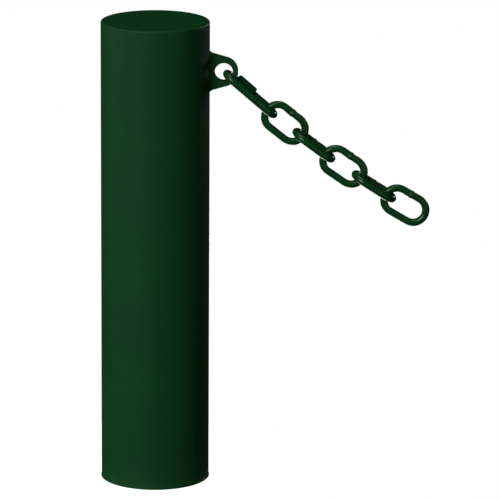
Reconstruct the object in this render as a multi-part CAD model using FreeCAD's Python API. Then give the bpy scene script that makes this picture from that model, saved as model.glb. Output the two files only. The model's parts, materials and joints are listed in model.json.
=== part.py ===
"""Retractable chain bollard: a steel post that drops into a ground tube, with a chain on its lug.

Millimetres, +Z up.  The origin is on the post's axis at the finished ground level, with the post
raised.  +X points along the chain and +Y points at the lock, behind the post.
"""
import os
from math import asin, atan2, cos, radians, sin, sqrt

import FreeCAD
import Part
from FreeCAD import Vector

# Post
post_diameter = 114.3
post_wall = 3.6
post_height = 495.0
tail_land = 5.7
cap_thickness = 6.0
cap_edge_radius = 2.0
cap_spigot_depth = 5.0

# Ground tube and what stands under it
guide_room = 8.7
tube_wall = 4.0
tube_top_depth = 12.0
base_clearance = 20.0
base_margin = 30.0
base_thickness = 8.0
base_corner_radius = 12.0
drain_diameter = 33.7
drain_wall = 2.6
drain_collar = 2.15
drain_length = 60.0
drain_offset = 31.0
strainer_overlap = 2.0
strainer_gap = 0.5
strainer_thickness = 3.0
strainer_hole_radius = 2.2
strainer_hole_circle = 9.5
buffer_land = 2.0
buffer_width = 11.5

# Anchors cast into the concrete
anchor_diameter = 12.0
anchor_reach = 60.0
anchor_drop = 70.0
anchor_bend = 24.0
anchor_depth = 240.0
anchor_height = 175.0
anchor_angles = (90.0, 180.0, 270.0)

# Mouth ring, wiper and guides
lip_width = 3.0
mouth_overhang = 14.0
mouth_recess = 4.0
mouth_gap = 0.6
ring_screw_offset = 6.0
ring_screw_angles = (40.0, 140.0, 220.0, 320.0)
screw_diameter = 6.0
screw_head_diameter = 12.0
screw_head_height = 3.0
screw_drive_diameter = 3.5
screw_drive_depth = 2.0
boss_diameter = 18.0
boss_length = 20.0
ring_screw_length = 22.0
wiper_height = 6.0
wiper_gap = 0.2
bush_length = 34.0
slide_gap = 0.35
stop_margin = 24.0
stop_thickness = 8.0
stop_gap = 0.3
rubber_ring_height = 8.0
guide_ring_length = 46.0
guide_screw_angles = (45.0, 135.0, 225.0, 315.0)
guide_screw_sink = 0.6
guide_screw_reach = 2.0
buffer_side_gap = 1.5
stop_side_gap = 1.2
wiper_seat = 0.5

# Chain lug
lug_thickness = 10.0
lug_hole_radius = 9.5
lug_tip_radius = 15.0
lug_root_half = 21.0
lug_reach = 14.65
lug_drop = 53.8
lug_edge_round = 1.2
lug_root_sink = 4.0
weld_leg = 3.0
weld_round = 1.8
slot_gap = 1.5
chain_side_gap = 4.0
slot_bottom_gap = 10.0

# Quick link
wire_diameter = 8.0
quick_inner_length = 57.5
quick_inner_width = 14.0
hook_play = 0.6
quick_angle = 41.0
nut_width = 12.6
nut_length = 23.0
nut_clearance = 2.5
nut_gap = 0.15
thread_engaged = 2.5
link_mouth_length = 8.0

# Chain
link_inner_length = 39.0
link_inner_width = 19.0
link_play = 0.3
link_count = 5
sag_step = 2.1

# Gas spring
gas_tube_diameter = 28.0
gas_tube_wall = 2.0
rod_diameter = 10.0
running_gap = 0.06
piston_gap = 0.1
piston_length = 12.0
gland_length = 10.0
gas_plug_length = 12.0
gas_end_gap = 3.0
eye_radius = 9.0
eye_thickness = 10.0
eye_pin_diameter = 8.0
eye_floor_gap = 3.0
ear_thickness = 5.0
ear_gap = 0.4
spring_plate_gap = 28.0
spring_plate_thickness = 8.0
rod_nut_width = 17.0
rod_nut_height = 8.0
rod_end = 4.0

# Lock
lock_depth = 62.0
bolt_diameter = 16.0
bolt_travel = 14.0
bolt_rest_gap = 1.85
socket_wall = 4.4
socket_gap = 0.6
socket_depth = 13.0
bolt_guide_wall = 4.0
tail_thickness = 6.0
tail_offset = 22.0
tail_left = 9.0
bolt_chamfer = 1.5
spindle_offset = 36.0
spindle_diameter = 14.0
crank_thickness = 5.6
crank_gap = 1.0
crank_pin_diameter = 6.0
crank_pin_gap = 0.45
crank_rim = 4.0
collar_width = 3.0
collar_height = 4.0
collar_gap = 0.4
bracket_thickness = 6.0
bracket_length = 36.0
key_head_height = 14.0
key_head_depth = 10.0
box_width = 60.0
box_length = 62.0
box_sunk = 8.0
box_depth = 95.0
box_wall = 3.0

# Lock cover
cover_thickness = 5.0
cover_gap = 0.5
cover_offset = 1.2
cover_corner_radius = 4.0
finger_hole_radius = 4.0
finger_hole_inset = 11.0
knuckle_radius = 3.5
knuckle_offset = 2.5
knuckle_depth = 4.0
middle_knuckle = 16.0
side_knuckle = 14.0
knuckle_gap = 0.3
hinge_pin_diameter = 3.5

# Sizes that follow from the ones above
post_r = post_diameter / 2
post_inner_r = post_r - post_wall
tube_inner_r = post_r + guide_room
tube_r = tube_inner_r + tube_wall
travel = post_height
slot_width = lug_thickness + 2 * (weld_leg + slot_gap)
slot_depth = lug_drop + lug_root_half + weld_leg + slot_bottom_gap
stop_depth = slot_depth + stop_margin
buffer_top = -stop_depth - stop_thickness - stop_gap
guide_top = buffer_top - rubber_ring_height
guide_bottom = guide_top - guide_ring_length
post_bottom = guide_bottom - tail_land
base_top = post_bottom - travel - base_clearance
base_bottom = base_top - base_thickness
anchor_levels = (-anchor_depth, base_top + anchor_height)
lip_inner_r = post_r + mouth_gap
lip_outer_r = lip_inner_r + lip_width
mouth_r = tube_r + mouth_overhang
mouth_bottom = -tube_top_depth
mouth_top = -mouth_recess
ring_screw_r = tube_r + ring_screw_offset
lug_hole_x = post_r + lug_reach
lug_hole_z = post_height - lug_drop
wire_r = wire_diameter / 2
hook_bow = quick_inner_width / 2 - sqrt((quick_inner_width / 2) ** 2 - (lug_thickness / 2) ** 2)
quick_hang = lug_hole_radius + lug_edge_round - wire_r - hook_bow - hook_play
nut_start = lug_tip_radius - quick_hang + nut_clearance
link_mouth_start = nut_start + thread_engaged
gas_r = gas_tube_diameter / 2
gas_bore_r = gas_r - gas_tube_wall
rod_r = rod_diameter / 2
eye_pin_z = base_top + eye_floor_gap + eye_radius
gas_low = eye_pin_z + eye_radius
piston_low = gas_low + gas_plug_length + gas_end_gap + travel
gland_low = piston_low + piston_length + gas_end_gap
gas_high = gland_low + gland_length
spring_plate_low = gas_high + spring_plate_gap + rod_nut_height + travel
spring_plate_high = spring_plate_low + spring_plate_thickness
bolt_r = bolt_diameter / 2
lock_z = -lock_depth
tail_front = tube_r + tail_offset
spindle_y = tube_r + spindle_offset
box_front = tube_r - box_sunk
box_back = tube_r + box_length
cover_front = tube_r + cover_offset
X_AXIS = Vector(1, 0, 0)
Y_AXIS = Vector(0, 1, 0)
Z_AXIS = Vector(0, 0, 1)


def cylinder(radius, low, high):
    """Upright cylinder on the post's axis between two heights."""
    return Part.makeCylinder(radius, high - low, Vector(0, 0, low))


def ring(outer, inner, low, high):
    """Upright ring on the post's axis between two heights."""
    return cylinder(outer, low, high).cut(cylinder(inner, low - 1, high + 1))


def bar(radius, start, end):
    """Round bar from one point to another."""
    run = end.sub(start)
    return Part.makeCylinder(radius, run.Length, start, run)


def box(low, high):
    """Box between two corners."""
    size = high.sub(low)
    return Part.makeBox(size.x, size.y, size.z, low)


def hexagon(width, low, high):
    """Upright hexagonal prism on the post's axis, measured across its flats."""
    corner = width / sqrt(3)
    points = [Vector(corner * cos(radians(60 * k)), corner * sin(radians(60 * k)), low) for k in range(7)]
    return Part.Face(Part.makePolygon(points)).extrude(Vector(0, 0, high - low))


def around(angle, radius, height):
    """Point on a circle round the post's axis."""
    return Vector(radius * cos(radians(angle)), radius * sin(radians(angle)), height)


def lug_slot(low):
    """Clearance through the guides and the ground tube for the lug, open at the top."""
    return box(Vector(0, -slot_width / 2, low), Vector(mouth_r + 1, slot_width / 2, 1))


def screw_blank(head, direction, length):
    """Countersunk screw's outer shape: the head's face is centred on a point, the shank points inwards."""
    cone = Part.makeCone(screw_head_diameter / 2, screw_diameter / 2, screw_head_height, head, direction)
    shank = Part.makeCylinder(screw_diameter / 2, length, head, direction)
    return cone.fuse(shank).removeSplitter()


def driven(blank, head, direction):
    """The screw with the drive recess in its head."""
    recess = Part.makeCylinder(screw_drive_diameter / 2, screw_drive_depth, head, direction)
    return blank.cut(recess)


def group(solids):
    """Like pieces that share one node."""
    return Part.makeCompound(solids)


# Post

def make_post(parts):
    """Painted tube with a welded cap, a lock socket and the plate that the gas spring pushes on."""
    cap_bottom = post_height - cap_thickness
    tube = ring(post_r, post_inner_r, post_bottom, cap_bottom)
    socket_bore_r = bolt_r + socket_gap
    socket_r = socket_bore_r + socket_wall
    lock_centre = Vector(0, 0, lock_z)
    outside = Vector(0, post_r + 1, lock_z)
    socket = bar(socket_r, Vector(0, post_r - socket_depth, lock_z), outside)
    socket = socket.common(cylinder(post_r, lock_z - 2 * socket_r, lock_z + 2 * socket_r))
    parts["lock_socket"] = socket.cut(bar(socket_bore_r, lock_centre, outside))
    tube = tube.cut(bar(socket_r, lock_centre, outside))

    cap = cylinder(post_r, cap_bottom, post_height)
    rim = [edge for edge in cap.Edges if edge.BoundBox.ZMin > post_height - 0.01]
    cap = cap.makeFillet(cap_edge_radius, rim)
    spigot = cylinder(post_inner_r, cap_bottom - cap_spigot_depth, cap_bottom)
    parts["top_cap"] = cap.fuse(spigot).removeSplitter()

    guide_r = tube_inner_r - slide_gap
    guide = ring(guide_r, post_r, guide_bottom, guide_top)
    screws = []
    for angle in guide_screw_angles:
        head = around(angle, guide_r - guide_screw_sink, (guide_top + guide_bottom) / 2)
        outwards = around(angle, 1, 0)
        inwards = outwards.negative()
        blank = screw_blank(head, inwards, guide_r - post_inner_r + guide_screw_reach)
        screws.append(driven(blank, head, inwards))
        counterbore = Part.makeCylinder(screw_head_diameter / 2, 2 * guide_screw_sink, head, outwards)
        guide = guide.cut(blank).cut(counterbore)
        tube = tube.cut(blank)
    parts["post_tube"] = tube
    parts["guide_ring"] = guide
    parts["guide_ring_screws"] = group(screws)
    parts["buffer_ring"] = ring(guide_r - buffer_side_gap, post_r, guide_top, buffer_top)


def make_lug(parts):
    """Eye plate on the post's side, with its round hole, and the fillet weld round its root."""
    root_x = post_r - lug_root_sink
    spread = sqrt((lug_hole_x - root_x) ** 2 + lug_root_half ** 2)
    lean = atan2(lug_root_half, lug_hole_x - root_x) - asin(lug_tip_radius / spread)
    side_x = lug_hole_x + lug_tip_radius * sin(lean)
    side_half = lug_tip_radius * cos(lean)
    root_top = Vector(root_x, 0, lug_hole_z + lug_root_half)
    root_bottom = Vector(root_x, 0, lug_hole_z - lug_root_half)
    side_top = Vector(side_x, 0, lug_hole_z + side_half)
    side_bottom = Vector(side_x, 0, lug_hole_z - side_half)
    tip = Vector(lug_hole_x + lug_tip_radius, 0, lug_hole_z)
    outline = Part.Wire([
        Part.LineSegment(root_bottom, root_top).toShape(),
        Part.LineSegment(root_top, side_top).toShape(),
        Part.Arc(side_top, tip, side_bottom).toShape(),
        Part.LineSegment(side_bottom, root_bottom).toShape(),
    ])
    plate = Part.Face(outline).extrude(Vector(0, lug_thickness, 0))
    plate.translate(Vector(0, -lug_thickness / 2, 0))
    hole_start = Vector(lug_hole_x, -lug_thickness, lug_hole_z)
    hole_end = Vector(lug_hole_x, lug_thickness, lug_hole_z)
    hole = bar(lug_hole_radius, hole_start, hole_end)
    plate = plate.cut(hole)
    rims = [edge for edge in plate.Edges if is_circle(edge, lug_hole_radius)]
    plate = plate.makeFillet(lug_edge_round, rims)
    post_body = cylinder(post_r, lug_hole_z - 2 * lug_root_half, lug_hole_z + 2 * lug_root_half)
    parts["chain_lug"] = plate.cut(post_body)

    taper = (lug_root_half - side_half) / (side_x - root_x)
    crest_half = lug_root_half - (lug_root_sink + weld_leg) * taper
    foot = rectangle(root_x, lug_thickness / 2 + weld_leg, lug_root_half + weld_leg)
    crest = rectangle(post_r + weld_leg, lug_thickness / 2, crest_half)
    bead = Part.makeLoft([foot, crest], True, True)
    corners = [edge for edge in bead.Edges if edge.BoundBox.XLength > weld_leg / 2]
    bead = bead.makeFillet(weld_round, corners)
    parts["lug_weld"] = bead.cut(post_body).cut(plate).cut(hole)


def is_circle(edge, radius):
    """Whether an edge is a full or part circle of a radius."""
    return edge.Curve.TypeId == "Part::GeomCircle" and abs(edge.Curve.Radius - radius) < 0.01


def rectangle(x, half_width, half_height):
    """Upright rectangle round the lug's middle, facing +X."""
    corners = [(-1, -1), (1, -1), (1, 1), (-1, 1), (-1, -1)]
    return Part.makePolygon([Vector(x, a * half_width, lug_hole_z + b * half_height) for a, b in corners])


# Ground tube

def make_casing(parts):
    """Tube cast into the concrete, its base, drain, anchors and the rings that guide the post."""
    tube = ring(tube_r, tube_inner_r, base_top, mouth_bottom)
    tube = tube.cut(lug_slot(-slot_depth))
    guide_hole_r = bolt_r + running_gap + bolt_guide_wall
    tube = tube.cut(bar(guide_hole_r, Vector(0, 0, lock_z), Vector(0, tube_r + 1, lock_z)))
    parts["ground_tube"] = tube

    stop_top = -stop_depth
    parts["stop_ring"] = ring(tube_inner_r, post_r + stop_side_gap, stop_top - stop_thickness, stop_top)
    bush_low = mouth_bottom - bush_length
    bush = ring(tube_inner_r, post_r + slide_gap, bush_low, mouth_bottom)
    parts["guide_bush"] = bush.cut(lug_slot(bush_low - 1))
    wiper_low = mouth_bottom
    wiper = ring(lip_outer_r - wiper_seat, post_r + wiper_gap, wiper_low, wiper_low + wiper_height)
    parts["wiper_seal"] = wiper.cut(lug_slot(wiper_low - 1))

    corner = tube_r + base_margin
    plate = box(Vector(-corner, -corner, base_bottom), Vector(corner, corner, base_top))
    plate = plate.makeFillet(base_corner_radius, upright_edges(plate))
    drain_r = drain_diameter / 2
    drain_centre = Vector(0, -drain_offset, base_top)
    drain_low = Vector(0, -drain_offset, base_bottom - drain_length)
    drain_top = Vector(0, -drain_offset, base_bottom)
    collar = bar(drain_r + drain_collar, drain_top, drain_centre)
    parts["base_plate"] = plate.cut(collar)
    spigot = bar(drain_r, drain_low, drain_top).fuse(collar)
    parts["drain_spigot"] = spigot.cut(bar(drain_r - drain_wall, drain_low, drain_centre))
    strainer_r = drain_r + strainer_overlap
    strainer = Part.makeCylinder(strainer_r, strainer_thickness, drain_centre)
    holes = [drain_centre] + [drain_centre.add(around(60 * k, strainer_hole_circle, 0)) for k in range(6)]
    for hole in holes:
        strainer = strainer.cut(Part.makeCylinder(strainer_hole_radius, strainer_thickness, hole))
    parts["drain_strainer"] = strainer
    pad_inner_r = post_inner_r - buffer_land
    pad_top = post_bottom - travel - stop_gap
    pad = ring(pad_inner_r + buffer_width, pad_inner_r, base_top, pad_top)
    relief = Part.makeCylinder(strainer_r + strainer_gap, pad_top - base_top, drain_centre)
    parts["bottom_buffer"] = pad.cut(relief)

    anchors = []
    for level in anchor_levels:
        for angle in anchor_angles:
            anchors.append(anchor(angle, level))
    parts["anchor_bars"] = group(anchors)


def upright_edges(solid):
    """Straight vertical edges of a box."""
    return [edge for edge in solid.Edges if edge.BoundBox.XLength + edge.BoundBox.YLength < 0.01]


def anchor(angle, height):
    """Bent bar welded to the ground tube: out, round a bend and down."""
    end_r = tube_r + anchor_reach
    bend_r = end_r - anchor_bend
    slack = anchor_bend * (1 - cos(radians(45)))
    start = around(angle, tube_inner_r + 1, height)
    elbow_start = around(angle, bend_r, height)
    elbow_middle = around(angle, end_r - slack, height - slack)
    elbow_end = around(angle, end_r, height - anchor_bend)
    outwards = Part.LineSegment(start, elbow_start)
    elbow = Part.Arc(elbow_start, elbow_middle, elbow_end)
    downwards = Part.LineSegment(elbow_end, around(angle, end_r, height - anchor_drop))
    path = Part.Wire([outwards.toShape(), elbow.toShape(), downwards.toShape()])
    section = Part.Wire([Part.makeCircle(anchor_diameter / 2, start, around(angle, 1, 0))])
    rod = path.makePipeShell([section], True, True)
    return rod.cut(cylinder(tube_r, height - anchor_diameter, height + anchor_diameter))


def make_mouth(parts):
    """Steel ring screwed to bosses on the tube; its thin lip is level with the ground."""
    lip = ring(lip_outer_r, lip_inner_r, mouth_top, 0)
    flange = ring(mouth_r, lip_inner_r, mouth_bottom, mouth_top)
    seat = ring(lip_outer_r - wiper_seat, lip_inner_r - 1, mouth_bottom, mouth_bottom + wiper_height)
    mouth = flange.fuse(lip).removeSplitter().cut(seat)
    mouth = mouth.cut(lock_notch()).cut(lug_slot(mouth_bottom - 1))
    chain_half = quick_inner_width / 2 + wire_diameter + chain_side_gap
    notch_low = Vector(tube_inner_r, -chain_half, mouth_bottom)
    mouth = mouth.cut(box(notch_low, Vector(mouth_r + 1, chain_half, mouth_top)))
    screws = []
    bosses = []
    for angle in ring_screw_angles:
        head = around(angle, ring_screw_r, mouth_top)
        down = Vector(0, 0, -1)
        blank = screw_blank(head, down, ring_screw_length)
        screws.append(driven(blank, head, down))
        mouth = mouth.cut(blank)
        boss_foot = around(angle, ring_screw_r, mouth_bottom - boss_length)
        boss = Part.makeCylinder(boss_diameter / 2, boss_length, boss_foot)
        bosses.append(boss.cut(cylinder(tube_r, mouth_bottom - boss_length, mouth_bottom)).cut(blank))
    parts["mouth_ring"] = mouth
    parts["mouth_ring_screws"] = group(screws)
    parts["ring_bosses"] = group(bosses)


# Gas spring

def make_gas_spring(parts):
    """Cylinder pinned to the base, with its rod and piston, which lift the post."""
    parts["gas_cylinder"] = ring(gas_r, gas_bore_r, gas_low, gas_high)
    parts["gas_gland"] = ring(gas_bore_r, rod_r + running_gap, gland_low, gas_high)
    parts["gas_piston"] = ring(gas_bore_r - piston_gap, rod_r, piston_low, piston_low + piston_length)
    parts["gas_rod"] = cylinder(rod_r, piston_low, spring_plate_high + rod_nut_height + rod_end)
    nuts = []
    for low in (spring_plate_low - rod_nut_height, spring_plate_high):
        high = low + rod_nut_height
        nuts.append(hexagon(rod_nut_width, low, high).cut(cylinder(rod_r, low, high)))
    parts["rod_nuts"] = group(nuts)
    parts["spring_plate"] = ring(post_inner_r, rod_r, spring_plate_low, spring_plate_high)

    half_eye = eye_thickness / 2
    tongue = box(Vector(-half_eye, -eye_radius, eye_pin_z), Vector(half_eye, eye_radius, gas_low))
    rounded = bar(eye_radius, Vector(-half_eye, 0, eye_pin_z), Vector(half_eye, 0, eye_pin_z))
    plug = cylinder(gas_bore_r, gas_low, gas_low + gas_plug_length)
    eye = plug.fuse(tongue).fuse(rounded).removeSplitter()
    pin_end = half_eye + ear_gap + ear_thickness
    pin_hole = bar(eye_pin_diameter / 2, Vector(-pin_end, 0, eye_pin_z), Vector(pin_end, 0, eye_pin_z))
    parts["gas_eye"] = eye.cut(pin_hole)
    ears = []
    for low_x in (-pin_end, half_eye + ear_gap):
        high_x = low_x + ear_thickness
        foot = box(Vector(low_x, -eye_radius, base_top), Vector(high_x, eye_radius, eye_pin_z))
        crown = bar(eye_radius, Vector(low_x, 0, eye_pin_z), Vector(high_x, 0, eye_pin_z))
        ears.append(foot.fuse(crown).removeSplitter().cut(pin_hole))
    parts["gas_bracket"] = group(ears)
    parts["gas_bracket_pin"] = pin_hole


# Lock

def make_lock_box(parts):
    """Welded box behind the ground tube, with one knuckle and the pin of its cover's hinge."""
    half_box = box_width / 2
    shell = box(Vector(-half_box, box_front, -box_depth), Vector(half_box, box_back, -cover_thickness))
    room_low = Vector(-half_box + box_wall, box_front - 1, -box_depth + box_wall)
    room_high = Vector(half_box - box_wall, box_back - box_wall, 0)
    shell = shell.cut(box(room_low, room_high))
    shell = shell.fuse(middle_knuckle_bar(0)).removeSplitter()
    for side in (-1, 1):
        shell = shell.cut(side_knuckle_bar(side, knuckle_radius + knuckle_gap, knuckle_gap))
    parts["cover_hinge_pin"] = hinge_bar(hinge_pin_diameter / 2)
    shell = shell.cut(parts["cover_hinge_pin"]).cut(cylinder(tube_r, -box_depth, mouth_bottom))
    parts["lock_box"] = shell.cut(cylinder(mouth_r, mouth_bottom, mouth_top).cut(lock_notch()))


def make_cover(parts):
    """Flush lid with two hinge knuckles and a lifting hole."""
    half_cover = box_width / 2 - cover_gap
    low = Vector(-half_cover, cover_front, -cover_thickness)
    cover = box(low, Vector(half_cover, box_back - cover_gap, 0))
    front_edges = [edge for edge in upright_edges(cover) if edge.BoundBox.YMax < cover_front + 0.1]
    cover = cover.makeFillet(cover_corner_radius, front_edges)
    cover = cover.cut(middle_knuckle_bar(knuckle_gap))
    for side in (-1, 1):
        cover = cover.fuse(side_knuckle_bar(side, knuckle_radius, 0))
    cover = cover.removeSplitter().cut(hinge_bar(hinge_pin_diameter / 2 + running_gap))
    finger_hole = Vector(0, cover_front + finger_hole_inset, -cover_thickness)
    parts["lock_cover"] = cover.cut(Part.makeCylinder(finger_hole_radius, cover_thickness, finger_hole))


def make_bolt(parts):
    """Round bolt with a slotted tail, and the bronze guide that carries it through the tube's wall."""
    guide_end = tail_front - bolt_travel - crank_gap
    guide_r = bolt_r + running_gap + bolt_guide_wall
    lock_centre = Vector(0, 0, lock_z)
    guide = bar(guide_r, lock_centre, Vector(0, guide_end, lock_z))
    guide = guide.cut(cylinder(tube_inner_r, lock_z - guide_r, lock_z + guide_r))
    parts["bolt_guide"] = guide.cut(bar(bolt_r + running_gap, lock_centre, Vector(0, guide_end, lock_z)))

    half_tail = tail_thickness / 2
    half_slot = crank_pin_diameter / 2 + crank_pin_gap
    pin = crank_pin_rest()
    slot_low = Vector(pin.x - half_slot, pin.y - half_slot, lock_z - half_tail)
    slot_high = Vector(crank_throw() + half_slot, pin.y + half_slot, lock_z + half_tail)
    tail_low = Vector(-tail_left, tail_front, lock_z - half_tail)
    tail_high = slot_high.add(Vector(crank_rim, crank_rim, 0))
    nose = Vector(0, post_r + bolt_rest_gap, lock_z)
    shank = bar(bolt_r, nose, Vector(0, tail_front + crank_rim, lock_z))
    nose_edges = [edge for edge in shank.Edges if edge.BoundBox.YMax < nose.y + 0.1]
    shank = shank.makeChamfer(bolt_chamfer, nose_edges)
    bolt = shank.fuse(box(tail_low, tail_high)).removeSplitter()
    parts["lock_bolt"] = bolt.cut(box(slot_low, slot_high))


def make_spindle(parts):
    """Key spindle with its crank and pin, and the bracket that it turns in."""
    crank_bottom = lock_z + bolt_r + crank_gap
    crank_top = crank_bottom + crank_thickness
    bracket_bottom = crank_top + collar_gap
    bracket_top = bracket_bottom + bracket_thickness
    collar_bottom = bracket_top + collar_gap
    head_bottom = -key_head_depth - key_head_height
    spindle_r = spindle_diameter / 2
    pin_r = crank_pin_diameter / 2
    spindle = upright(spindle_r, crank_bottom, head_bottom)
    spindle = spindle.fuse(upright(crank_throw() + pin_r + 1, crank_bottom, crank_top))
    spindle = spindle.fuse(upright(spindle_r + collar_width, collar_bottom, collar_bottom + collar_height))
    pin_foot = crank_pin_rest().sub(Vector(0, 0, tail_thickness / 2 + 1))
    pin = Part.makeCylinder(pin_r, crank_top - pin_foot.z, pin_foot)
    corners = [around(90 + 120 * k, spindle_r, head_bottom).add(Vector(0, spindle_y, 0)) for k in range(4)]
    head = Part.Face(Part.makePolygon(corners)).extrude(Vector(0, 0, key_head_height))
    parts["key_spindle"] = spindle.fuse(pin).fuse(head).removeSplitter()

    inner_half = box_width / 2 - box_wall
    bracket_low = Vector(-inner_half, spindle_y - bracket_length / 2, bracket_bottom)
    bracket = box(bracket_low, Vector(inner_half, box_back - box_wall, bracket_top))
    parts["spindle_bracket"] = bracket.cut(upright(spindle_r + running_gap, bracket_bottom, bracket_top))


def crank_throw():
    """Radius of the crank pin's circle: a quarter turn, 45 degrees each side of square, moves the bolt."""
    return bolt_travel / 2 / sin(radians(45))


def crank_pin_rest():
    """Centre of the crank pin with the bolt drawn back."""
    return Vector(bolt_travel / 2, spindle_y + bolt_travel / 2, lock_z)


def upright(radius, low, high):
    """Upright cylinder on the key spindle's axis between two heights."""
    return Part.makeCylinder(radius, high - low, Vector(0, spindle_y, low))


def lock_notch():
    """Part of the mouth ring that is left out over the lock box."""
    half_box = box_width / 2
    return box(Vector(-half_box, box_front, mouth_bottom), Vector(half_box, mouth_r + 1, mouth_top))


def across(radius, start, end):
    """Round bar along X on the cover's hinge line."""
    hinge_y = box_back + knuckle_offset
    return bar(radius, Vector(start, hinge_y, -knuckle_depth), Vector(end, hinge_y, -knuckle_depth))


def hinge_bar(radius):
    """Bar as long as the cover's whole hinge."""
    end = middle_knuckle / 2 + knuckle_gap + side_knuckle
    return across(radius, -end, end)


def middle_knuckle_bar(extra):
    """Outside of the box's hinge knuckle, with an allowance all over."""
    end = middle_knuckle / 2 + extra
    return across(knuckle_radius + extra, -end, end)


def side_knuckle_bar(side, radius, extra):
    """Outside of one of the cover's two hinge knuckles, with an allowance at its ends."""
    near = middle_knuckle / 2 + knuckle_gap - extra
    far = near + side_knuckle + 2 * extra
    return across(radius, side * near, side * far)


# Chain

def oval(inner_length, inner_width):
    """Round-wire oval link lying in the XY plane, its long axis along X, centred on the origin."""
    bend = inner_width / 2 + wire_r
    half_straight = (inner_length - inner_width) / 2
    link = None
    for side in (-1, 1):
        start = Vector(-half_straight, side * bend, 0)
        straight = bar(wire_r, start, Vector(half_straight, side * bend, 0))
        crown = Part.makeTorus(bend, wire_r, Vector(side * half_straight, 0, 0), Z_AXIS, 0, 360, 180)
        crown.rotate(Vector(side * half_straight, 0, 0), Z_AXIS, -90 * side)
        piece = straight.fuse(crown)
        link = piece if link is None else link.fuse(piece)
    return link.removeSplitter()


def lay(shape, start, angle, face_on):
    """Place an oval whose near crown is at the origin: face-on or edge-on to -Y, then down a slope."""
    if face_on:
        shape.rotate(Vector(0, 0, 0), X_AXIS, 90)
    shape.rotate(Vector(0, 0, 0), Y_AXIS, angle)
    shape.translate(start)
    return shape


def along(start, angle, distance):
    """Point at a distance from another, down a slope."""
    return start.add(Vector(distance * cos(radians(angle)), 0, -distance * sin(radians(angle))))


def make_quick_link(parts):
    """Screw-closed link hooked through the lug; returns where its far crown is."""
    reach = quick_inner_length + wire_diameter
    body = oval(quick_inner_length, quick_inner_width)
    body.translate(Vector(reach / 2, 0, 0))
    bar_y = quick_inner_width / 2 + wire_r
    gap = Part.makeCylinder(wire_r + 1, link_mouth_length, Vector(link_mouth_start, bar_y, 0), X_AXIS)
    body = body.cut(gap)
    nut = hexagon(nut_width, 0, nut_length)
    rounding = Part.makeCone(nut_width / 2, nut_width / 2 + nut_length, nut_length)
    nut = nut.common(rounding).common(turned_over(rounding, nut_length))
    nut = nut.cut(cylinder(wire_r + nut_gap, 0, nut_length))
    nut.rotate(Vector(0, 0, 0), Y_AXIS, 90)
    nut.translate(Vector(nut_start, bar_y, 0))
    start = along(Vector(lug_hole_x, 0, lug_hole_z), quick_angle, quick_hang)
    print("joint quick_link", start)
    parts["quick_link"] = lay(body, start, quick_angle, False)
    parts["quick_link_nut"] = lay(nut, start, quick_angle, False)
    return along(start, quick_angle, reach)


def turned_over(shape, height):
    """Copy of a shape turned end for end about the middle of its height."""
    copy = shape.copy()
    copy.rotate(Vector(0, 0, height / 2), X_AXIS, 180)
    return copy


def make_chain(parts, hook):
    """Links that lie by turns face-on and edge-on, each hanging in the one before it.

    Each swings about the wire's centre in the crown of the edge-on link of its pair.
    """
    reach = link_inner_length + wire_diameter
    contact = wire_diameter + link_play
    hinge = hook
    for number in range(1, link_count + 1):
        angle = quick_angle - sag_step * number
        face_on = number % 2 == 1
        start = along(hinge, angle, -contact) if face_on else hinge
        link = oval(link_inner_length, link_inner_width)
        link.translate(Vector(reach / 2, 0, 0))
        parts["chain_link_%d" % number] = lay(link, start, angle, face_on)
        print("joint chain_link_%d" % number, hinge)
        end = along(start, angle, reach)
        hinge = along(end, angle, -contact) if face_on else end


def main():
    """Build every piece and write one STEP file for each."""
    parts = {}
    make_post(parts)
    make_lug(parts)
    make_casing(parts)
    make_mouth(parts)
    make_gas_spring(parts)
    make_lock_box(parts)
    make_cover(parts)
    make_bolt(parts)
    make_spindle(parts)
    make_chain(parts, make_quick_link(parts))
    os.makedirs("parts", exist_ok=True)
    for name, shape in parts.items():
        shape.exportStep("parts/%s.step" % name)


main()
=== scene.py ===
"""Retractable chain bollard: its looks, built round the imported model.  Metres, +Z up."""

import json
import math

import bmesh
import bpy
from mathutils import Matrix, Vector


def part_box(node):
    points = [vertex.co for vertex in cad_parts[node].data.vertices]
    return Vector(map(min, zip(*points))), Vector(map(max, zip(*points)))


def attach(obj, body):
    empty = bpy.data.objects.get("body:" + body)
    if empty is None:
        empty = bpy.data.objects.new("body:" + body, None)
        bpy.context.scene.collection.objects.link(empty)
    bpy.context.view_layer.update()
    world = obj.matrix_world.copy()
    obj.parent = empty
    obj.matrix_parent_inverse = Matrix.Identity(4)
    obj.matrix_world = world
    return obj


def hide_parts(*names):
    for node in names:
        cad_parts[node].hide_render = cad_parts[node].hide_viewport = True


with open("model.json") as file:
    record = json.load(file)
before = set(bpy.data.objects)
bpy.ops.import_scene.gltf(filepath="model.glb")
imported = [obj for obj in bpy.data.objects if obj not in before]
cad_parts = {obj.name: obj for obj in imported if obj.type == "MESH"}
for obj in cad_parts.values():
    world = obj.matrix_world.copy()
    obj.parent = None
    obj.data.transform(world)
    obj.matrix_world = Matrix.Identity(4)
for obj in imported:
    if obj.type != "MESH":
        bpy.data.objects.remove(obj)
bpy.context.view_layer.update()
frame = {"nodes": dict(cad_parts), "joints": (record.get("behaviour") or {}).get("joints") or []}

# ---------------------------------------------------------------------------------------------
# Post: a round steel tube with a disc welded flush into its top and an eye plate on its side.
# It is blasted, sprayed with dry polyester powder and baked, all in one piece.

MM = 0.001
POWDER_GREEN = "#165A2A"
POWDER_GREEN_DULL = "#1A522C"
PEEL_SIZE = 1.6 * MM
PEEL_DEPTH = 0.04 * MM
CLOUD_SIZE = 90 * MM
SCUFF_SIZE = 7 * MM
POWDER_SPECULAR = 0.15


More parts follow.
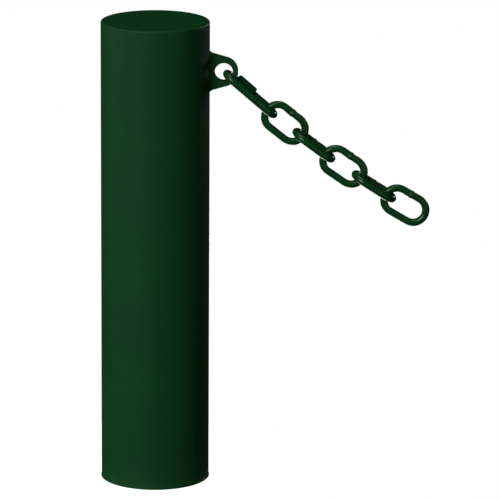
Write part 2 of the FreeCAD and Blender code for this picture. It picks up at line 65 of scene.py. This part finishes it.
def linear(code):
    """Linear colour with alpha from an sRGB hex value."""
    channels = [int(code[i:i + 2], 16) / 255 for i in (1, 3, 5)]
    return tuple(c / 12.92 if c <= 0.04045 else ((c + 0.055) / 1.055) ** 2.4 for c in channels) + (1.0,)


def add(tree, kind, sockets, **settings):
    """Add a node with its settings; a socket takes a value, an output, or a node's first output."""
    made = tree.nodes.new(kind)
    for name, value in settings.items():
        setattr(made, name, value)
    for name, value in sockets.items():
        if isinstance(value, bpy.types.Node):
            value = value.outputs[0]
        if isinstance(value, bpy.types.NodeSocket):
            tree.links.new(value, made.inputs[name])
        else:
            made.inputs[name].default_value = value
    return made


def start_material(name):
    """New material with an empty tree; returns it, the tree and its Object coordinates."""
    made = bpy.data.materials.new(name)
    made.use_nodes = True
    made.node_tree.nodes.clear()
    return made, made.node_tree, add(made.node_tree, "ShaderNodeTexCoord", {}).outputs["Object"]


def finish(material, *names):
    """Give CAD nodes their finish."""
    for name in names:
        frame["nodes"][name].data.materials.clear()
        frame["nodes"][name].data.materials.append(material)


# Polyester powder coat: it looks satin and even, with the faint orange peel of powder that has
# flowed and set, and slightly duller, greyer patches where grit and hands have rubbed it.
powder_coat, tree, place = start_material("polyester_powder_coat")
cloud = add(tree, "ShaderNodeTexNoise", {"Vector": place, "Scale": 1 / CLOUD_SIZE, "Detail": 4})
dull = add(tree, "ShaderNodeMapRange", {"Value": cloud, "From Min": 0.35, "From Max": 0.7})
colour = add(tree, "ShaderNodeMix", {0: dull, 6: linear(POWDER_GREEN), 7: linear(POWDER_GREEN_DULL)},
             data_type="RGBA").outputs[2]
scuff = add(tree, "ShaderNodeTexNoise", {"Vector": place, "Scale": 1 / SCUFF_SIZE, "Detail": 6,
                                         "Roughness": 0.65})
rough = add(tree, "ShaderNodeMapRange", {"Value": scuff, "From Min": 0.35, "From Max": 0.7,
                                         "To Min": 0.42, "To Max": 0.54})
peel = add(tree, "ShaderNodeTexNoise", {"Vector": place, "Scale": 1 / PEEL_SIZE, "Detail": 1})
skin = add(tree, "ShaderNodeBump", {"Height": peel, "Distance": PEEL_DEPTH})
shader = add(tree, "ShaderNodeBsdfPrincipled", {"Base Color": colour, "Roughness": rough, "Normal": skin,
                                                "Specular IOR Level": POWDER_SPECULAR})
add(tree, "ShaderNodeOutputMaterial", {"Surface": shader})
finish(powder_coat, "post_tube", "top_cap", "chain_lug")

# ---------------------------------------------------------------------------------------------
# Weld round the eye plate's root: one run of fillet weld, left as it cooled and coated with the
# post, so its overlapping ripples show softly under the powder.

WAVE_LENGTH = 0.314  # of a wave texture at scale 1
RIPPLE_PITCH = 1.6 * MM
RIPPLE_DEPTH = 0.25 * MM

coated_weld, tree, place = start_material("powder_coated_weld")
ripples = add(tree, "ShaderNodeTexWave", {"Vector": place, "Scale": WAVE_LENGTH / RIPPLE_PITCH,
                                          "Distortion": 1.5, "Detail": 1, "Detail Scale": 2},
              bands_direction="Z").outputs["Fac"]
cloud = add(tree, "ShaderNodeTexNoise", {"Vector": place, "Scale": 1 / SCUFF_SIZE, "Detail": 4})
colour = add(tree, "ShaderNodeMix", {0: cloud, 6: linear(POWDER_GREEN), 7: linear(POWDER_GREEN_DULL)},
             data_type="RGBA").outputs[2]
skin = add(tree, "ShaderNodeBump", {"Height": ripples, "Distance": RIPPLE_DEPTH})
shader = add(tree, "ShaderNodeBsdfPrincipled", {"Base Color": colour, "Roughness": 0.46, "Normal": skin,
                                                "Specular IOR Level": POWDER_SPECULAR})
add(tree, "ShaderNodeOutputMaterial", {"Surface": shader})
finish(coated_weld, "lug_weld")

# ---------------------------------------------------------------------------------------------
# Chain: round steel wire bent to ovals, each butt welded in the middle of one side, which leaves
# a small collar of flash.  The links are joined first and then dipped in enamel and stoved.

LINK_LENGTH = 39 * MM
LINK_WIDTH = 19 * MM
WIRE = 8 * MM
WIRE_SIDES = 24
CROWN_STEPS = 20
FLASH_LENGTH = 2.2 * MM
FLASH_SLOPE = 0.5 * MM
FLASH_SHARE = 1.08
ENAMEL_GREEN = "#17592C"
ENAMEL_GREEN_WORN = "#0E3A1E"
WEAR_SIZE = 14 * MM
DUST_SIZE = 1.1 * MM
DUST_HEIGHT = 0.02 * MM
MERGE_DISTANCE = 0.01 * MM
LINK_COUNT = 5


def start_wire(x, y, radius):
    """New bmesh with a ring of wire section that faces along X; returns it and the ring's edges."""
    shape = bmesh.new()
    turned = Matrix.Translation((x, y, 0)) @ Matrix.Rotation(math.radians(90), 4, "Y")
    bmesh.ops.create_circle(shape, segments=WIRE_SIDES, radius=radius, matrix=turned)
    return shape, shape.edges[:]


def run_wire(shape, edges, step, share=1.0):
    """Extrude the wire's end along X and scale its new section; returns that section's edges."""
    made = bmesh.ops.extrude_edge_only(shape, edges=edges)["geom"]
    verts = [v for v in made if isinstance(v, bmesh.types.BMVert)]
    bmesh.ops.translate(shape, verts=verts, vec=(step, 0, 0))
    centre = sum((v.co for v in verts), Vector()) / len(verts)
    bmesh.ops.scale(shape, verts=verts, vec=(share, share, share), space=Matrix.Translation(-centre))
    return [e for e in made if isinstance(e, bmesh.types.BMEdge)]


def bend_wire(shape, edges, x):
    """Bend the wire's end through half a turn round a crown's centre; returns the new end's edges."""
    made = bmesh.ops.spin(shape, geom=edges, cent=(x, 0, 0), axis=(0, 0, 1), angle=-math.pi,
                          steps=CROWN_STEPS)["geom_last"]
    return [e for e in made if isinstance(e, bmesh.types.BMEdge)]


def make_link():
    """Welded oval link in the XY plane round the origin, its long axis along X."""
    bend = (LINK_WIDTH + WIRE) / 2
    half = (LINK_LENGTH - LINK_WIDTH) / 2
    plain = half - FLASH_LENGTH / 2 - FLASH_SLOPE
    shape, edges = start_wire(-half, bend, WIRE / 2)
    for step, share in ((plain, 1), (FLASH_SLOPE, FLASH_SHARE), (FLASH_LENGTH, 1),
                        (FLASH_SLOPE, 1 / FLASH_SHARE), (plain, 1)):
        edges = run_wire(shape, edges, step, share)
    edges = bend_wire(shape, edges, half)
    edges = run_wire(shape, edges, -2 * half)
    bend_wire(shape, edges, -half)
    bmesh.ops.remove_doubles(shape, verts=shape.verts[:], dist=MERGE_DISTANCE)
    bmesh.ops.recalc_face_normals(shape, faces=shape.faces[:])
    return shape


def hinge_of(body):
    """Point of the hinge that a body swings on."""
    return Vector(next(joint["pos_m"] for joint in frame["joints"] if joint["child"] == body))


def place_link(shape, node, body, material):
    """Lay a link from the XY plane over its CAD node, on the line through its hinge, as a piece."""
    low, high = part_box(node)
    middle = (low + high) / 2
    slope = middle - hinge_of(body)
    turn = Matrix.Rotation(math.atan2(-slope.z, slope.x), 4, "Y")
    if high.y - low.y < 1.5 * WIRE:
        turn = turn @ Matrix.Rotation(math.radians(90), 4, "X")
    bmesh.ops.transform(shape, matrix=Matrix.Translation(middle) @ turn, verts=shape.verts[:])
    mesh = bpy.data.meshes.new(node + "_wire")
    shape.to_mesh(mesh)
    shape.free()
    for face in mesh.polygons:
        face.use_smooth = True
    mesh.materials.append(material)
    made = bpy.data.objects.new(node + "_wire", mesh)
    bpy.context.scene.collection.objects.link(made)
    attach(made, body)
    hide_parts(node)


# Stoved enamel: it looks wet and deep, with narrow bright glints along the wire, is thinner and
# darker in scattered worn patches, and has a fine grain of dust caught in it.
stoved_enamel, tree, place = start_material("stoved_enamel")
wear = add(tree, "ShaderNodeTexNoise", {"Vector": place, "Scale": 1 / WEAR_SIZE, "Detail": 5,
                                        "Roughness": 0.6})
worn = add(tree, "ShaderNodeMapRange", {"Value": wear, "From Min": 0.5, "From Max": 0.75})
colour = add(tree, "ShaderNodeMix", {0: worn, 6: linear(ENAMEL_GREEN), 7: linear(ENAMEL_GREEN_WORN)},
             data_type="RGBA").outputs[2]
rough = add(tree, "ShaderNodeMapRange", {"Value": wear, "From Min": 0.35, "From Max": 0.7,
                                         "To Min": 0.12, "To Max": 0.26})
dust = add(tree, "ShaderNodeTexNoise", {"Vector": place, "Scale": 1 / DUST_SIZE, "Detail": 2})
skin = add(tree, "ShaderNodeBump", {"Height": dust, "Distance": DUST_HEIGHT})
shader = add(tree, "ShaderNodeBsdfPrincipled", {"Base Color": colour, "Roughness": rough, "Normal": skin})
add(tree, "ShaderNodeOutputMaterial", {"Surface": shader})

for number in range(1, LINK_COUNT + 1):
    place_link(make_link(), "chain_link_%d" % number, "link_%d" % number, stoved_enamel)

# ---------------------------------------------------------------------------------------------
# Quick link: one bent bar with a gap in its side and a rolled thread on both sides of the gap,
# and a six-sided sleeve nut that is run over the gap by hand.  Enamelled with the chain.

QUICK_LENGTH = 57.5 * MM
QUICK_WIDTH = 14 * MM
MOUTH_START = 16 * MM
MOUTH_LENGTH = 8 * MM
THREAD_PITCH = 1.25 * MM
THREAD_TURNS = 5
THREAD_SHARE = 0.88


def run_thread(shape, edges):
    """Extrude the wire's end along X as ridges, from one root to the next; returns the new edges."""
    for _ in range(THREAD_TURNS):
        edges = run_wire(shape, edges, THREAD_PITCH / 2, 1 / THREAD_SHARE)
        edges = run_wire(shape, edges, THREAD_PITCH / 2, THREAD_SHARE)
    return edges


def make_quick_link():
    """Oval bar in the XY plane round the origin, with a threaded gap in its +Y side."""
    bend = (QUICK_WIDTH + WIRE) / 2
    half = (QUICK_LENGTH - QUICK_WIDTH) / 2
    run_out = THREAD_PITCH / 4
    thread = THREAD_PITCH * THREAD_TURNS + run_out
    mouth_low = MOUTH_START - (QUICK_LENGTH + WIRE) / 2
    mouth_high = mouth_low + MOUTH_LENGTH
    shape, edges = start_wire(mouth_high, bend, WIRE / 2 * THREAD_SHARE)
    bmesh.ops.edgeloop_fill(shape, edges=edges)
    edges = run_thread(shape, edges)
    edges = run_wire(shape, edges, run_out, 1 / THREAD_SHARE)
    edges = run_wire(shape, edges, half - mouth_high - thread)
    edges = bend_wire(shape, edges, half)
    edges = run_wire(shape, edges, -2 * half)
    edges = bend_wire(shape, edges, -half)
    edges = run_wire(shape, edges, mouth_low + half - thread)
    edges = run_wire(shape, edges, run_out, THREAD_SHARE)
    edges = run_thread(shape, edges)
    bmesh.ops.edgeloop_fill(shape, edges=edges)
    bmesh.ops.recalc_face_normals(shape, faces=shape.faces[:])
    return shape


place_link(make_quick_link(), "quick_link", "hook", stoved_enamel)
finish(stoved_enamel, "quick_link_nut")

# ---------------------------------------------------------------------------------------------
# Mouth ring: turned from stainless plate.  With the lid it is all that shows in the paving.
# It is held by four countersunk screws, so the rubber wiper under it can be changed.

LATHE_PITCH = 1.0 * MM
LATHE_DEPTH = 0.02 * MM
STAIN_SIZE = 25 * MM
TURNED_GREY = "#B7B8B5"
TURNED_GREY_CLEAN = "#D0D1CE"

# Turned stainless steel: pale grey, with the fine rings of the lathe tool, drawn coarser than
# the real feed of 0.2 mm so that they show.
turned_steel, tree, place = start_material("turned_stainless_steel")
rings = add(tree, "ShaderNodeTexWave", {"Vector": place, "Scale": WAVE_LENGTH / LATHE_PITCH,
                                        "Distortion": 0.5},
            wave_type="RINGS", rings_direction="Z").outputs["Fac"]
stain = add(tree, "ShaderNodeTexNoise", {"Vector": place, "Scale": 1 / STAIN_SIZE, "Detail": 4})
colour = add(tree, "ShaderNodeMix", {0: stain, 6: linear(TURNED_GREY), 7: linear(TURNED_GREY_CLEAN)},
             data_type="RGBA").outputs[2]
rough = add(tree, "ShaderNodeMapRange", {"Value": stain, "From Min": 0.3, "From Max": 0.7,
                                         "To Min": 0.28, "To Max": 0.42})
skin = add(tree, "ShaderNodeBump", {"Height": rings, "Distance": LATHE_DEPTH})
shader = add(tree, "ShaderNodeBsdfPrincipled", {"Base Color": colour, "Metallic": 1.0, "Roughness": rough,
                                                "Normal": skin})
add(tree, "ShaderNodeOutputMaterial", {"Surface": shader})
finish(turned_steel, "mouth_ring", "mouth_ring_screws", "guide_ring_screws", "rod_nuts", "gas_bracket_pin")

# ---------------------------------------------------------------------------------------------
# Lock: a flat lid on a pin over a three-sided spindle head, whose crank drives a bolt into the
# post's socket.  All are stainless, because rain stands in the lock box.

SCRATCH_WIDTH = 12 * MM
SCRATCH_STRETCH = 16.0
SCRATCH_DEPTH = 0.03 * MM
BRUSHED_GREY = "#AEAFAC"
BRUSHED_GREY_CLEAN = "#C6C7C4"
BRONZE_DARK = "#7C5A2E"
BRONZE_BRIGHT = "#BC9254"
BRONZE_GRAIN = 0.9 * MM
BRONZE_DEPTH = 0.04 * MM

# Brushed stainless steel: grey, with fine straight scratches from the belt that break its shine
# into a soft streak.
brushed_steel, tree, place = start_material("brushed_stainless_steel")
stretched = add(tree, "ShaderNodeMapping", {"Vector": place,
                                            "Scale": (1.0, SCRATCH_STRETCH, SCRATCH_STRETCH)})
grain = add(tree, "ShaderNodeTexNoise", {"Vector": stretched, "Scale": 1 / SCRATCH_WIDTH, "Detail": 4,
                                         "Roughness": 0.7})
stain = add(tree, "ShaderNodeTexNoise", {"Vector": place, "Scale": 1 / STAIN_SIZE, "Detail": 4})
colour = add(tree, "ShaderNodeMix", {0: stain, 6: linear(BRUSHED_GREY), 7: linear(BRUSHED_GREY_CLEAN)},
             data_type="RGBA").outputs[2]
rough = add(tree, "ShaderNodeMapRange", {"Value": grain, "From Min": 0.3, "From Max": 0.7,
                                         "To Min": 0.24, "To Max": 0.46})
skin = add(tree, "ShaderNodeBump", {"Height": grain, "Distance": SCRATCH_DEPTH})
shader = add(tree, "ShaderNodeBsdfPrincipled", {"Base Color": colour, "Metallic": 1.0, "Roughness": rough,
                                                "Normal": skin})
add(tree, "ShaderNodeOutputMaterial", {"Surface": shader})
finish(brushed_steel, "lock_cover", "cover_hinge_pin", "key_spindle", "lock_bolt", "lock_socket",
       "drain_strainer")

# Sintered bronze: the bolt's bush, pressed from powder and filled with oil, brown gold with an
# open grain and a slight wet shine.
bronze, tree, place = start_material("sintered_bronze")
grain = add(tree, "ShaderNodeTexNoise", {"Vector": place, "Scale": 1 / BRONZE_GRAIN, "Detail": 4})
colour = add(tree, "ShaderNodeMix", {0: grain, 6: linear(BRONZE_DARK), 7: linear(BRONZE_BRIGHT)},
             data_type="RGBA").outputs[2]
skin = add(tree, "ShaderNodeBump", {"Height": grain, "Distance": BRONZE_DEPTH})
shader = add(tree, "ShaderNodeBsdfPrincipled", {"Base Color": colour, "Metallic": 1.0, "Roughness": 0.42,
                                                "Normal": skin})
add(tree, "ShaderNodeOutputMaterial", {"Surface": shader})
finish(bronze, "bolt_guide")

# ---------------------------------------------------------------------------------------------
# Casing: ground tube, base plate, anchor bars, lock box and brackets, cut from plain steel, welded
# up and dipped whole in molten zinc before they are cast into the footing.

SPANGLE_SIZE = 9 * MM
BLOOM_SIZE = 40 * MM
BLOOM_HEIGHT = 0.4 * MM
ZINC_GREY = "#8D9395"
ZINC_GREY_PALE = "#AFB4B5"

# Hot-dip galvanised steel: dull blue grey, in frozen crystals of slightly different greys, with
# cloudy patches of more and less shine.  It is set only half metallic, lower than is usual for
# zinc, so that the dark surround it reflects doesn't turn the casing nearly black.
galvanised, tree, place = start_material("hot_dip_galvanised_steel")
spangle = add(tree, "ShaderNodeTexVoronoi", {"Vector": place, "Scale": 1 / SPANGLE_SIZE}).outputs["Color"]
shade = add(tree, "ShaderNodeSeparateColor", {"Color": spangle})
bloom = add(tree, "ShaderNodeTexNoise", {"Vector": place, "Scale": 1 / BLOOM_SIZE, "Detail": 5,
                                         "Roughness": 0.6})
colour = add(tree, "ShaderNodeMix", {0: shade, 6: linear(ZINC_GREY), 7: linear(ZINC_GREY_PALE)},
             data_type="RGBA").outputs[2]
rough = add(tree, "ShaderNodeMapRange", {"Value": bloom, "From Min": 0.3, "From Max": 0.7,
                                         "To Min": 0.38, "To Max": 0.6})
skin = add(tree, "ShaderNodeBump", {"Height": bloom, "Distance": BLOOM_HEIGHT})
shader = add(tree, "ShaderNodeBsdfPrincipled", {"Base Color": colour, "Metallic": 0.5, "Roughness": rough,
                                                "Normal": skin})
add(tree, "ShaderNodeOutputMaterial", {"Surface": shader})
finish(galvanised, "ground_tube", "base_plate", "anchor_bars", "drain_spigot", "ring_bosses", "stop_ring",
       "lock_box", "spindle_bracket", "gas_bracket", "spring_plate")

# ---------------------------------------------------------------------------------------------
# Wiper and buffers: rings of black rubber, moulded in steel tools, that keep grit out of the
# casing and soften the post's two stops.

RUBBER_BLACK = "#181818"
RUBBER_BLOOM = "#30302F"
RUBBER_BLOOM_SIZE = 12 * MM
PEBBLE_SIZE = 0.8 * MM
PEBBLE_HEIGHT = 0.05 * MM

# EPDM rubber: near black and dull, with a fine pebbled skin and a grey bloom.
rubber, tree, place = start_material("moulded_epdm_rubber")
bloom = add(tree, "ShaderNodeTexNoise", {"Vector": place, "Scale": 1 / RUBBER_BLOOM_SIZE, "Detail": 5})
colour = add(tree, "ShaderNodeMix", {0: bloom, 6: linear(RUBBER_BLACK), 7: linear(RUBBER_BLOOM)},
             data_type="RGBA").outputs[2]
pebble = add(tree, "ShaderNodeTexNoise", {"Vector": place, "Scale": 1 / PEBBLE_SIZE, "Detail": 2})
skin = add(tree, "ShaderNodeBump", {"Height": pebble, "Distance": PEBBLE_HEIGHT})
shader = add(tree, "ShaderNodeBsdfPrincipled", {"Base Color": colour, "Roughness": 0.75, "Normal": skin})
add(tree, "ShaderNodeOutputMaterial", {"Surface": shader})
finish(rubber, "wiper_seal", "buffer_ring", "bottom_buffer")

# ---------------------------------------------------------------------------------------------
# Guides and gas spring: turned nylon rings for the post to slide on, and a bought gas spring, an
# enamelled cylinder with a chromed rod, that carries the post's weight.

NYLON_GREY = "#38393B"
NYLON_GREY_PALE = "#4A4B4C"
NYLON_RING_PITCH = 1.2 * MM
NYLON_RING_DEPTH = 0.03 * MM
NYLON_CLOUD_SIZE = 20 * MM
CYLINDER_BLACK = "#141415"
CYLINDER_BLACK_DULL = "#232324"
CYLINDER_CLOUD_SIZE = 30 * MM
CYLINDER_PEEL_SIZE = 1.4 * MM
CYLINDER_PEEL_DEPTH = 0.03 * MM
CHROME_OILY = "#C4C7CB"
CHROME_CLEAN = "#DADCDE"
OIL_SIZE = 9 * MM

# Cast nylon: dark grey and waxy, with the lathe's rings drawn coarser than the real feed.
nylon, tree, place = start_material("turned_cast_nylon")
rings = add(tree, "ShaderNodeTexWave", {"Vector": place, "Scale": WAVE_LENGTH / NYLON_RING_PITCH,
                                        "Distortion": 0.4},
            bands_direction="Z").outputs["Fac"]
cloud = add(tree, "ShaderNodeTexNoise", {"Vector": place, "Scale": 1 / NYLON_CLOUD_SIZE, "Detail": 4})
colour = add(tree, "ShaderNodeMix", {0: cloud, 6: linear(NYLON_GREY), 7: linear(NYLON_GREY_PALE)},
             data_type="RGBA").outputs[2]
skin = add(tree, "ShaderNodeBump", {"Height": rings, "Distance": NYLON_RING_DEPTH})
shader = add(tree, "ShaderNodeBsdfPrincipled", {"Base Color": colour, "Roughness": 0.44, "Normal": skin})
add(tree, "ShaderNodeOutputMaterial", {"Surface": shader})
finish(nylon, "guide_bush", "guide_ring", "gas_gland", "gas_piston")

# Black air-dried enamel: satin, with a slight orange peel.
black_enamel, tree, place = start_material("black_enamel")
cloud = add(tree, "ShaderNodeTexNoise", {"Vector": place, "Scale": 1 / CYLINDER_CLOUD_SIZE, "Detail": 4})
colour = add(tree, "ShaderNodeMix", {0: cloud, 6: linear(CYLINDER_BLACK), 7: linear(CYLINDER_BLACK_DULL)},
             data_type="RGBA").outputs[2]
peel = add(tree, "ShaderNodeTexNoise", {"Vector": place, "Scale": 1 / CYLINDER_PEEL_SIZE, "Detail": 1})
skin = add(tree, "ShaderNodeBump", {"Height": peel, "Distance": CYLINDER_PEEL_DEPTH})
shader = add(tree, "ShaderNodeBsdfPrincipled", {"Base Color": colour, "Roughness": 0.34, "Normal": skin})
add(tree, "ShaderNodeOutputMaterial", {"Surface": shader})
finish(black_enamel, "gas_cylinder", "gas_eye")

# Hard chrome on ground steel: mirror bright, with a smeared film of oil.
chrome, tree, place = start_material("hard_chrome")
film = add(tree, "ShaderNodeTexNoise", {"Vector": place, "Scale": 1 / OIL_SIZE, "Detail": 5})
colour = add(tree, "ShaderNodeMix", {0: film, 6: linear(CHROME_OILY), 7: linear(CHROME_CLEAN)},
             data_type="RGBA").outputs[2]
rough = add(tree, "ShaderNodeMapRange", {"Value": film, "From Min": 0.3, "From Max": 0.7,
                                         "To Min": 0.06, "To Max": 0.18})
shader = add(tree, "ShaderNodeBsdfPrincipled", {"Base Color": colour, "Metallic": 1.0, "Roughness": rough})
add(tree, "ShaderNodeOutputMaterial", {"Surface": shader})
finish(chrome, "gas_rod")

# ---------------------------------------------------------------------------------------------
# Ground: a plain pale round of floor that laps over the lip of the mouth ring and is cut round
# the post and round the lock's lid.  It ends near them, so the casing under it can be seen.

FLOOR_REACH = 200 * MM
FLOOR_GAP = 0.6 * MM
FLOOR_LIFT = 0.2 * MM
FLOOR_STEPS = 128
FLOOR_GLOW = 0.93
PAPER_TONE_SIZE = 600 * MM


def make_floor():
    """Disc with a round hole for the post and a square one for the lock's lid."""
    lid_low, lid_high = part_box("lock_cover")
    post_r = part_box("post_tube")[1].y
    shape = bmesh.new()
    bmesh.ops.create_circle(shape, segments=FLOOR_STEPS, radius=post_r + FLOOR_GAP)
    made = bmesh.ops.extrude_edge_only(shape, edges=shape.edges[:])["geom"]
    verts = [v for v in made if isinstance(v, bmesh.types.BMVert)]
    share = FLOOR_REACH / (post_r + FLOOR_GAP)
    bmesh.ops.scale(shape, verts=verts, vec=(share, share, share))
    for point, normal in (((lid_low.x - FLOOR_GAP, 0, 0), (1, 0, 0)),
                          ((lid_high.x + FLOOR_GAP, 0, 0), (1, 0, 0)),
                          ((0, lid_low.y - FLOOR_GAP, 0), (0, 1, 0)),
                          ((0, lid_high.y + FLOOR_GAP, 0), (0, 1, 0))):
        bmesh.ops.bisect_plane(shape, geom=shape.verts[:] + shape.edges[:] + shape.faces[:],
                               plane_co=point, plane_no=normal)
    over_lid = []
    for face in shape.faces:
        middle = face.calc_center_median()
        if lid_low.x < middle.x < lid_high.x and lid_low.y < middle.y < lid_high.y:
            over_lid.append(face)
    bmesh.ops.delete(shape, geom=over_lid, context="FACES")
    shape.normal_update()
    bmesh.ops.reverse_faces(shape, faces=[face for face in shape.faces if face.normal.z < 0])
    bmesh.ops.translate(shape, verts=shape.verts[:], vec=(0, 0, FLOOR_LIFT))
    mesh = bpy.data.meshes.new("floor")
    shape.to_mesh(mesh)
    shape.free()
    return mesh


# Matt white paper: it glows, so it stays pale under the post, and what falls on it hardly shows.
paper, tree, place = start_material("matt_white_paper")
tone = add(tree, "ShaderNodeTexNoise", {"Vector": place, "Scale": 1 / PAPER_TONE_SIZE, "Detail": 2})
colour = add(tree, "ShaderNodeMix", {0: tone, 6: linear("#FDFDFD"), 7: linear("#FFFFFF")},
             data_type="RGBA").outputs[2]
shader = add(tree, "ShaderNodeBsdfPrincipled", {"Base Color": colour, "Roughness": 1.0,
                                                "Specular IOR Level": 0.0, "Emission Color": colour,
                                                "Emission Strength": FLOOR_GLOW})
add(tree, "ShaderNodeOutputMaterial", {"Surface": shader})

floor = bpy.data.objects.new("floor", make_floor())
bpy.context.scene.collection.objects.link(floor)
floor.data.materials.append(paper)
floor.visible_diffuse = False
floor.visible_glossy = False
floor.visible_shadow = False

# ---------------------------------------------------------------------------------------------
# Light: a large soft box in front and to the left, weaker ones at the sides and above, one low
# behind that shines up through the floor, and a plain white surround that only the camera sees.


def soft_box(name, azimuth, elevation, distance, size, power):
    """Square area light on a sphere round the post's middle, facing it; azimuth 0 is in front."""
    aim = Vector((0.05, 0, 0.25))
    east = math.sin(math.radians(azimuth)) * math.cos(math.radians(elevation))
    south = math.cos(math.radians(azimuth)) * math.cos(math.radians(elevation))
    source = aim + distance * Vector((east, -south, math.sin(math.radians(elevation))))
    light = bpy.data.lights.new(name, "AREA")
    light.size = size
    light.energy = power
    made = bpy.data.objects.new(name, light)
    made.location = source
    made.rotation_euler = (aim - source).to_track_quat("-Z", "Y").to_euler()
    bpy.context.scene.collection.objects.link(made)


soft_box("key_light", -32, 22, 3.4, 2.0, 45)
soft_box("side_light", -92, 12, 3.0, 1.6, 13)
soft_box("fill_light", 38, 6, 3.6, 2.4, 5)
soft_box("top_light", -20, 80, 3.0, 1.8, 14)
soft_box("edge_light", 138, 12, 3.0, 0.8, 10)
soft_box("back_light", 196, -46, 3.4, 1.8, 48)

world = bpy.data.worlds.new("surround")
bpy.context.scene.world = world
world.use_nodes = True
world.node_tree.nodes["Background"].inputs["Color"].default_value = linear("#FFFFFF")
world.cycles_visibility.diffuse = False
world.cycles_visibility.glossy = False
bpy.context.scene.view_settings.view_transform = "Standard"

# ---------------------------------------------------------------------------------------------
# Camera: a little under eye height, four and a half metres in front, looking down at the post.

CAMERA_RIGHT = 0.1002
CAMERA_BACK = 4.6
CAMERA_HEIGHT = 1.4322
CAMERA_PITCH = 14.433
CAMERA_ROLL = 0.327
CAMERA_LENS = 323.5
CAMERA_SENSOR = 36
CAMERA_FAR = 60

camera_data = bpy.data.cameras.new("camera")
camera_data.sensor_width = CAMERA_SENSOR
camera_data.lens = CAMERA_LENS
camera_data.clip_end = CAMERA_FAR
camera = bpy.data.objects.new("camera", camera_data)
camera.matrix_world = (Matrix.Translation((CAMERA_RIGHT, -CAMERA_BACK, CAMERA_HEIGHT))
                       @ Matrix.Rotation(math.radians(90 - CAMERA_PITCH), 4, "X")
                       @ Matrix.Rotation(math.radians(CAMERA_ROLL), 4, "Z"))
bpy.context.scene.collection.objects.link(camera)
bpy.context.scene.camera = camera
